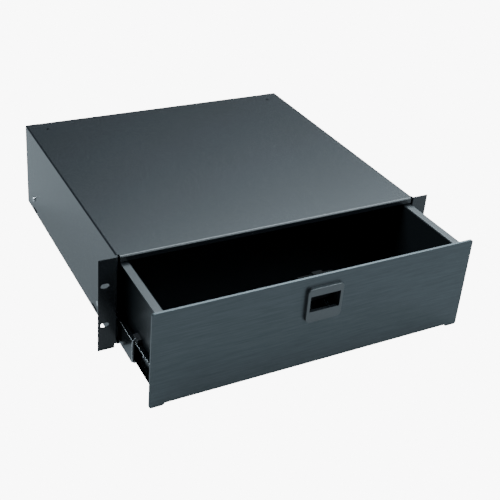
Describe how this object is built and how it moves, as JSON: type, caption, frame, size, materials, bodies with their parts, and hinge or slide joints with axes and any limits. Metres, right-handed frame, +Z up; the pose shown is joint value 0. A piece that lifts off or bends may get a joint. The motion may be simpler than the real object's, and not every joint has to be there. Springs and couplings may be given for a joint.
{
  "type": "sliding rack drawer",
  "caption": "Sheet-steel case with rack ears holding a drawer on ball-bearing slides, with a flat front panel and a finger-pull latch.",
  "frame": {"origin": "centre of the rack slots, on the back face of the ears, which rests against the rack rails", "axes": "+X to the right seen from the front, +Y back into the rack, +Z up"},
  "size_m": [0.4826, 0.5212, 0.1326],
  "materials": {
    "case_steel": "fine satin powder coat",
    "drawer_steel": "satin powder coat",
    "panel_aluminium": "brushed along its length, black anodised",
    "slide_steel": "black zinc",
    "cage_steel": "zinc",
    "ball_steel": "polished",
    "zinc_hardware": "bright zinc",
    "bright_steel": "drawn",
    "latch_plastic": "moulded, half gloss",
    "box_plastic": "moulded, rough inside face",
    "lever_plastic": "moulded, half gloss",
    "bolt_plastic": "moulded",
    "stop_plastic": "moulded"
  },
  "bodies": {
    "case": {"case_wrap": "case_steel", "rear_panel": "case_steel", "left_outer_rail": "slide_steel", "left_rear_stop": "stop_plastic", "right_outer_rail": "slide_steel", "right_rear_stop": "stop_plastic", "case_rail_screws": "zinc_hardware"},
    "drawer": {"drawer_tray": "drawer_steel", "drawer_front_wall": "drawer_steel", "drawer_rear_wall": "drawer_steel", "front_panel": "panel_aluminium", "panel_studs": "zinc_hardware", "panel_nuts": "zinc_hardware", "left_inner_rail": "slide_steel", "right_inner_rail": "slide_steel", "drawer_rail_screws": "zinc_hardware", "latch_bezel": "latch_plastic", "latch_box": "box_plastic", "latch_screws": "zinc_hardware", "latch_pin": "bright_steel", "latch_spring": "bright_steel"},
    "latch_lever": {"latch_lever": "lever_plastic"},
    "latch_bolt": {"latch_bolt": "bolt_plastic"},
    "left_middle": {"left_middle_rail": "slide_steel", "left_middle_bumper": "stop_plastic"},
    "left_outer_cage": {"left_outer_ball_cage": "cage_steel", "left_outer_balls": "ball_steel"},
    "left_inner_cage": {"left_inner_ball_cage": "cage_steel", "left_inner_balls": "ball_steel"},
    "right_middle": {"right_middle_rail": "slide_steel", "right_middle_bumper": "stop_plastic"},
    "right_outer_cage": {"right_outer_ball_cage": "cage_steel", "right_outer_balls": "ball_steel"},
    "right_inner_cage": {"right_inner_ball_cage": "cage_steel", "right_inner_balls": "ball_steel"}
  },
  "joints": [
    {"name": "drawer_slide", "type": "slide", "parent": "case", "child": "drawer", "axis": [0, -1, 0], "range_m": [-0.117, 0.239]},
    {"name": "left_middle_slide", "type": "slide", "parent": "case", "child": "left_middle", "axis": [0, -1, 0], "range_m": [-0.0585, 0.1195]},
    {"name": "left_outer_cage_slide", "type": "slide", "parent": "case", "child": "left_outer_cage", "axis": [0, -1, 0], "range_m": [-0.02925, 0.05975]},
    {"name": "left_inner_cage_slide", "type": "slide", "parent": "case", "child": "left_inner_cage", "axis": [0, -1, 0], "range_m": [-0.08775, 0.17925]},
    {"name": "right_middle_slide", "type": "slide", "parent": "case", "child": "right_middle", "axis": [0, -1, 0], "range_m": [-0.0585, 0.1195]},
    {"name": "right_outer_cage_slide", "type": "slide", "parent": "case", "child": "right_outer_cage", "axis": [0, -1, 0], "range_m": [-0.02925, 0.05975]},
    {"name": "right_inner_cage_slide", "type": "slide", "parent": "case", "child": "right_inner_cage", "axis": [0, -1, 0], "range_m": [-0.08775, 0.17925]},
    {"name": "latch_lever_hinge", "type": "hinge", "parent": "drawer", "child": "latch_lever", "pos_m": [0, -0.1166, 0.044], "axis": [-1, 0, 0], "range_deg": [0, 25], "stiffness_Nm_per_rad": 0.05, "springref_deg": -20.05},
    {"name": "latch_bolt_slide", "type": "slide", "parent": "drawer", "child": "latch_bolt", "axis": [0, 0, -1], "range_m": [0, 0.0062], "deforming": ["latch_spring"]}
  ],
  "couplings": [
    {"joint": "left_middle_slide", "follows": "drawer_slide", "ratio": 0.5},
    {"joint": "left_outer_cage_slide", "follows": "drawer_slide", "ratio": 0.25},
    {"joint": "left_inner_cage_slide", "follows": "drawer_slide", "ratio": 0.75},
    {"joint": "right_middle_slide", "follows": "drawer_slide", "ratio": 0.5},
    {"joint": "right_outer_cage_slide", "follows": "drawer_slide", "ratio": 0.25},
    {"joint": "right_inner_cage_slide", "follows": "drawer_slide", "ratio": 0.75},
    {"joint": "latch_bolt_slide", "follows": "latch_lever_hinge", "m_per_rad": 0.014045}
  ]
}
